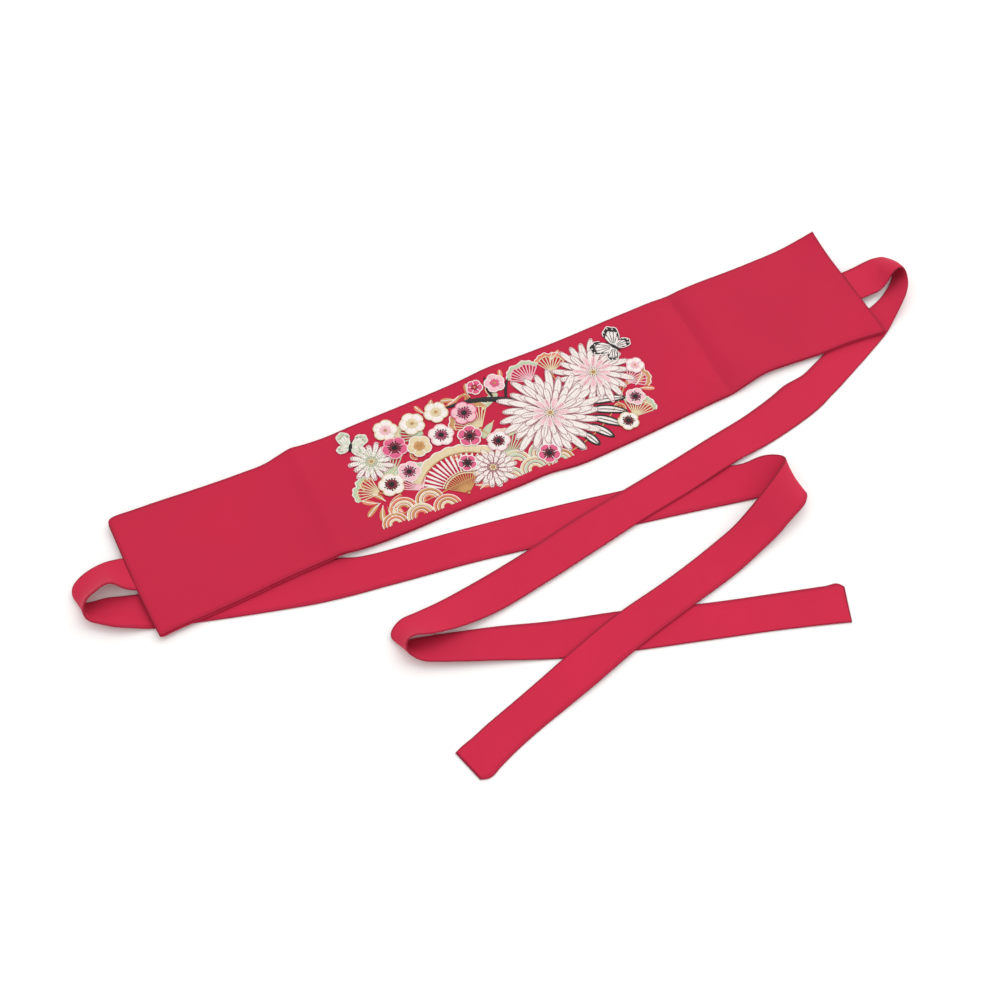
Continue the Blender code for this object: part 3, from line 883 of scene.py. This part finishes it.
def embroider():
    """The whole design, from the lowest layer up, in millimetres on the panel."""
    deg = math.radians
    # arching stems
    for x, y, heading, length, bend, points in (
        (-146, -47, 10, 96, -8, 40),
        (24, -52, 4, 98, 46, 40),
        (-60, 34, 28, 56, -34, 30),
    ):
        stem, _ = arc((x, y), deg(heading), length, deg(bend), np.linspace(0, 1, points))
        rope("gold", stem, 1.1, 0.0)
    # tendrils
    for x, y, heading, length, turns, thread in (
        (-118, -26, 190, 40, 1.15, "orange"),
        (-78, 6, 150, 38, 1.1, "gold"),
        (-36, 40, 30, 30, -1.1, "gold"),
        (84, -40, 20, 40, 1.15, "gold"),
        (-2, 30, 120, 30, -1.15, "orange"),
        (104, -6, 330, 32, 1.1, "gold"),
        (-144, -8, 100, 30, -1.15, "gold"),
        (-58, -24, 70, 34, 1.1, "orange"),
        (-20, -14, 200, 34, 1.1, "gold"),
    ):
        scroll((x, y), deg(heading), length, turns, thread)
    # leaf sprays in gold and orange
    for x, y, heading, length, width, bend, thread in (
        (-140, -26, 200, 15, 5.0, 20, "gold"),
        (-141, -24, 155, 13, 4.8, -20, "orange"),
        (-138, -30, 240, 14, 5.0, 15, "gold"),
        (-134, -33, 275, 12, 4.8, 10, "ivory"),
        (-134, -24, 110, 12, 4.5, 25, "gold"),
        (-130, -34, 310, 10, 4.5, -15, "orange"),
        (-36, 43, 150, 12, 5.0, 20, "gold"),
        (-32, 44, 205, 12, 4.5, -15, "orange"),
        (-22, 44, 80, 10, 4.5, -15, "gold"),
        (-2, 46, 15, 14, 5.0, -20, "gold"),
        (-4, 44, -30, 12, 4.5, 10, "mint"),
        (10, 43, 60, 11, 4.5, 15, "orange"),
        (118, -14, 30, 14, 5.0, 20, "gold"),
        (119, -20, -20, 12, 4.8, -15, "orange"),
        (112, -30, -60, 13, 4.8, 10, "gold"),
        (62, 44, 20, 12, 4.8, 20, "orange"),
        (60, 42, 60, 11, 4.6, -15, "gold"),
        (-62, 43, 40, 12, 4.5, 15, "gold"),
        (-66, 42, 120, 11, 4.5, -15, "orange"),
        (-56, -46, 330, 12, 4.6, 15, "orange"),
        (-54, -50, 20, 13, 4.6, -15, "gold"),
    ):
        rib = "white" if thread != "ivory" else "gold"
        leaf(thread, rib, (x, y), deg(heading), length, width, deg(bend))
    # mint and black-lined leaves
    for x, y, heading, length, width, bend, edge in (
        (-118, 10, 150, 22, 8.0, 25, None),
        (-110, 2, 215, 20, 8.0, -20, None),
        (-18, 22, 40, 22, 8.0, -25, None),
        (-16, 6, 210, 18, 7.0, 15, None),
        (-50, -12, 30, 20, 7.5, 20, None),
        (41.5, -43.2, -80, 12, 7.0, 0, "black"),
        (50.9, -39.8, -64, 18, 7.0, -10, "black"),
        (58.6, -34.3, -48, 25, 7.5, -15, "black"),
        (64.2, -27.6, -34, 30, 7.5, -18, "black"),
        (67.8, -20.3, -20, 33, 7.5, -20, "black"),
        (69.6, -13.0, -6, 34, 7.5, -22, "black"),
    ):
        thread, rib = ("white", "black") if edge else ("mint", "ivory")
        leaf(thread, rib, (x, y), deg(heading), length, width, deg(bend), edge=edge)
    # ginkgo leaves
    for x, y, turn, size, spread, body, rim in (
        (-134, -16, 138, 24, 88, "ivory", "mint"),
        (-100, -30, 104, 30, 92, "blush", "mint"),
        (-118, -6, 92, 27, 96, "mint", "ivory"),
        (-20, -34, 62, 32, 92, "mint", "ivory"),
        (-28, 4, 104, 31, 100, "ivory", "gold"),
        (-76, 20, 128, 26, 88, "mint", "ivory"),
        (34, 30, 98, 24, 104, "blush", "mint"),
        (56, 31, 70, 22, 96, "ivory", "orange"),
        (100, -44, 44, 24, 96, "ivory", "mint"),
        (110, -8, 8, 24, 90, "blush", "gold"),
    ):
        ginkgo((x, y), deg(turn), size, deg(spread), body, rim, level=0.15)
    # wave scales along the front, the back row first
    for x, y, size, bands in (
        (-123, -40, 12, ("orange", "ivory", "gold")),
        (-99, -41, 12, ("gold", "ivory", "orange")),
        (-16, -41, 13, ("ivory", "mint", "ivory")),
        (9, -42, 12, ("mint", "ivory", "mint")),
        (-135, -50, 11, ("gold", "orange", "ivory")),
        (-112, -52, 12, ("ivory", "gold", "orange")),
        (-88, -54, 12, ("orange", "gold", "ivory")),
        (-28, -54, 13, ("mint", "ivory", "mint")),
        (-4, -54, 13, ("ivory", "mint", "ivory")),
        (20, -56, 12, ("gold", "ivory", "mint")),
    ):
        waves((x, y), size, bands, level=0.25)
    # folding fan
    folding_fan((-66, -50), 50, deg(40), deg(142), 15, "white", "ivory", "gold", level=0.5)
    # a dark branch with twigs
    for x, y, heading, length, width, bend in (
        (20, 12, 140, 72, 5.6, 36),
        (-4, 30, 96, 22, 2.8, -25),
        (-22, 38, 205, 18, 2.6, 20),
        (6, 23, 70, 22, 2.6, -20),
    ):
        petal("black", (x, y), deg(heading), length, width, deg(bend), belly=0.4, slant=0.9, level=0.5,
              blunt=0.35)
    # the white flowers
    chrysanthemum((89, 14), (
        # count, near, far, width, bend, turn, thread, edge
        (21, 6, 35, 6.0, -0.35, 0.00, "white", "silver"),
        (17, 5, 26, 5.6, -0.35, 0.15, "white", "silver"),
        (12, 3, 17, 4.8, -0.30, 0.05, "blush", "white"),
    ), level=0.6)
    chrysanthemum((-128, 16), (
        (16, 4, 19, 4.8, 0.35, 0.10, "white", "silver"),
        (11, 3, 12, 4.2, 0.35, 0.30, "white", "mint"),
    ), level=0.6)
    chrysanthemum((-36, -36), (
        (17, 4, 20, 5.0, 0.35, 0.10, "white", "silver"),
        (12, 3, 13, 4.4, 0.35, 0.30, "white", "silver"),
    ), level=0.6)
    chrysanthemum((34, -8), (
        (25, 8, 45, 6.8, 0.35, 0.10, "white", "silver"),
        (21, 7, 36, 6.2, 0.35, 0.25, "white", "silver"),
        (16, 5, 26, 5.6, 0.30, 0.05, "white", "silver"),
        (11, 3, 16, 4.8, 0.25, 0.20, "blush", "white"),
    ), level=1.0)
    # butterflies
    butterfly((119, 31), deg(118), 22, "black", level=1.2)
    butterfly((-138, 38), deg(58), 17, "mint", level=0.9)
    # blossoms
    for x, y, size, turn, body, heart, rim, stamens in (
        (-34, 26, 12.0, 10, "blush", "pink", "pink", "black"),
        (-56, 38, 11.0, 40, "white", "ivory", "ivory", None),
        (-80, 36, 11.5, 25, "white", "ivory", "ivory", None),
        (-104, 40, 11.0, 60, "white", "blush", "ivory", None),
        (-62, 14, 11.5, 0, "white", "pink", "blush", "black"),
        (-84, 12, 11.0, 30, "ivory", "gold", "white", None),
        (-104, 20, 11.5, 35, "pink", "rose", "blush", "black"),
        (-122, -13, 11.5, 15, "white", "rose", "ivory", "black"),
        (-103, -8, 10.5, 50, "blush", "pink", "white", "black"),
        (-40, 2, 11.0, 70, "pink", "rose", "white", "black"),
        (-20, -14, 10.5, 55, "white", "rose", "blush", "black"),
        (14, -45, 10.0, 30, "pink", "rose", "white", "black"),
        (92, -46, 9.5, 20, "white", "rose", "ivory", "black"),
        (4, 42, 9.5, 15, "blush", "pink", "white", None),
        (110, -26, 9.0, 45, "blush", "pink", "white", "black"),
        (126, 4, 8.5, 45, "white", "blush", "blush", None),
        (-14, 46, 7.5, 45, "pink", "rose", "white", None),
        (-54, -22, 8.5, 25, "pink", "rose", "white", "black"),
    ):
        blossom((x, y), size, deg(turn), body, heart, rim, stamens, level=1.25)


def thread_pieces():
    """One mesh for each thread colour, its stitches resting on the panel's upper surface."""
    made = []
    for thread, colour in THREADS.items():
        rows = np.concatenate(stitches[thread])
        start, end = rows[:, None, None, 0:2], rows[:, None, None, 2:4]
        tone, pad, level, width = (rows[:, k, None, None] for k in (4, 5, 6, 7))
        ahead = unit(end - start)
        aside = np.stack([-ahead[..., 1], ahead[..., 0]], axis=-1)
        share = BETWEEN[None, :, None]
        offset = ACROSS[None, None, :] * width * TAPER[None, :, None]
        plan = start + (end - start) * share[..., None] + aside * offset[..., None]
        rise = ARCH[None, :, None] * (pad + THREAD_ROUND * width * ROUND[None, None, :])
        z = panel_top(plan[..., 0], plan[..., 1]) + PRESSED_FLAT * (level + rise)
        points = np.concatenate([plan, z[..., None]], axis=-1)
        length = np.linalg.norm(end - start, axis=-1)
        local = np.stack(np.broadcast_arrays(share * length, offset, 0.0), axis=-1)
        count, along, across = z.shape
        cell = np.arange(count * along * across).reshape(count, along, across)
        corners = cell[:, :-1, 1:], cell[:, 1:, 1:], cell[:, 1:, :-1], cell[:, :-1, :-1]
        faces = np.stack(corners, axis=-1).reshape(-1, 4)
        tones = np.broadcast_to(tone, z.shape).ravel()
        floss = embroidery_thread("thread_" + thread, colour)
        made.append(mesh_piece("embroidery_" + thread, points.reshape(-1, 3), faces, floss,
                               thread=local * MM, tone=tones))
    return made


# ---------------------------------------------------------------- the sash
# the cloths' scene colours, set against the photo's plain stretches; the ties' is a lighter copy of the
# same cloth, painted light for the brighter light on the ties
panel_cloth = crimson_cloth("panel_crimson", (0.470, 0.0128, 0.0465))
tie_cloth = crimson_cloth("tie_crimson_painted_lighter", (0.515, 0.0155, 0.0525))

front, back = panel_shells(panel_cloth)
left = tie_shell("tie_left_cloth", TIE_LEFT_SECTIONS, "front", 3.0, tie_cloth)
right = tie_shell("tie_right_cloth", TIE_RIGHT_SECTIONS, "back", 8.0, tie_cloth)
embroider()
threads = thread_pieces()

for piece, node, finish in (
    (front, "panel_front", "panel_cloth"),
    (back, "panel_back", "panel_cloth"),
    (left, "tie_left", "tie_cloth"),
    (right, "tie_right", "tie_cloth"),
):
    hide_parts(node)
    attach(piece, "root")
for piece in threads:
    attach(piece, "root")

# ---------------------------------------------------------------- floor, light and camera
floor_mesh = bpy.data.meshes.new("floor")
floor_mesh.from_pydata([(-4, -4, 0), (4, -4, 0), (4, 4, 0), (-4, 4, 0)], [], [(0, 1, 2, 3)])
floor = placed("floor", floor_mesh)
floor.location.z = -0.0002  # a hair below the cloth, so that the two faces don't share a plane
paper = Nodes("floor_paper")
paper.finish(Base_Color=(0.90, 0.895, 0.885, 1), Roughness=0.9, Specular_IOR_Level=0.0)
floor_mesh.materials.append(paper.material)

world = bpy.data.worlds.new("studio")
world.use_nodes = True
sky = world.node_tree.nodes["Background"]
sky.inputs["Color"].default_value = (1.0, 0.99, 0.985, 1)
sky.inputs["Strength"].default_value = 1.0
bpy.context.scene.world = world

softbox = bpy.data.lights.new("key_softbox", "AREA")
softbox.shape = "SQUARE"
softbox.size = 5.5
softbox.energy = 122
key = placed("key_softbox", softbox)
key.location = (2.8, 1.8, 4.5)
towards = Vector((0, -0.05, 0)) - key.location
key.rotation_euler = towards.to_track_quat("-Z", "Y").to_euler()

# solved from the photo's view of the panel's corners and of the ties' even width
camera = placed("camera", bpy.data.cameras.new("camera"))
camera.location = (-0.3597, -0.6976, 1.174)
camera.rotation_euler = Vector((0.2300, 0.4608, -0.8572)).to_track_quat("-Z", "Y").to_euler()
camera.data.lens = 57.6
camera.data.sensor_width = 36
bpy.context.scene.camera = camera
bpy.context.scene.view_settings.view_transform = "Standard"
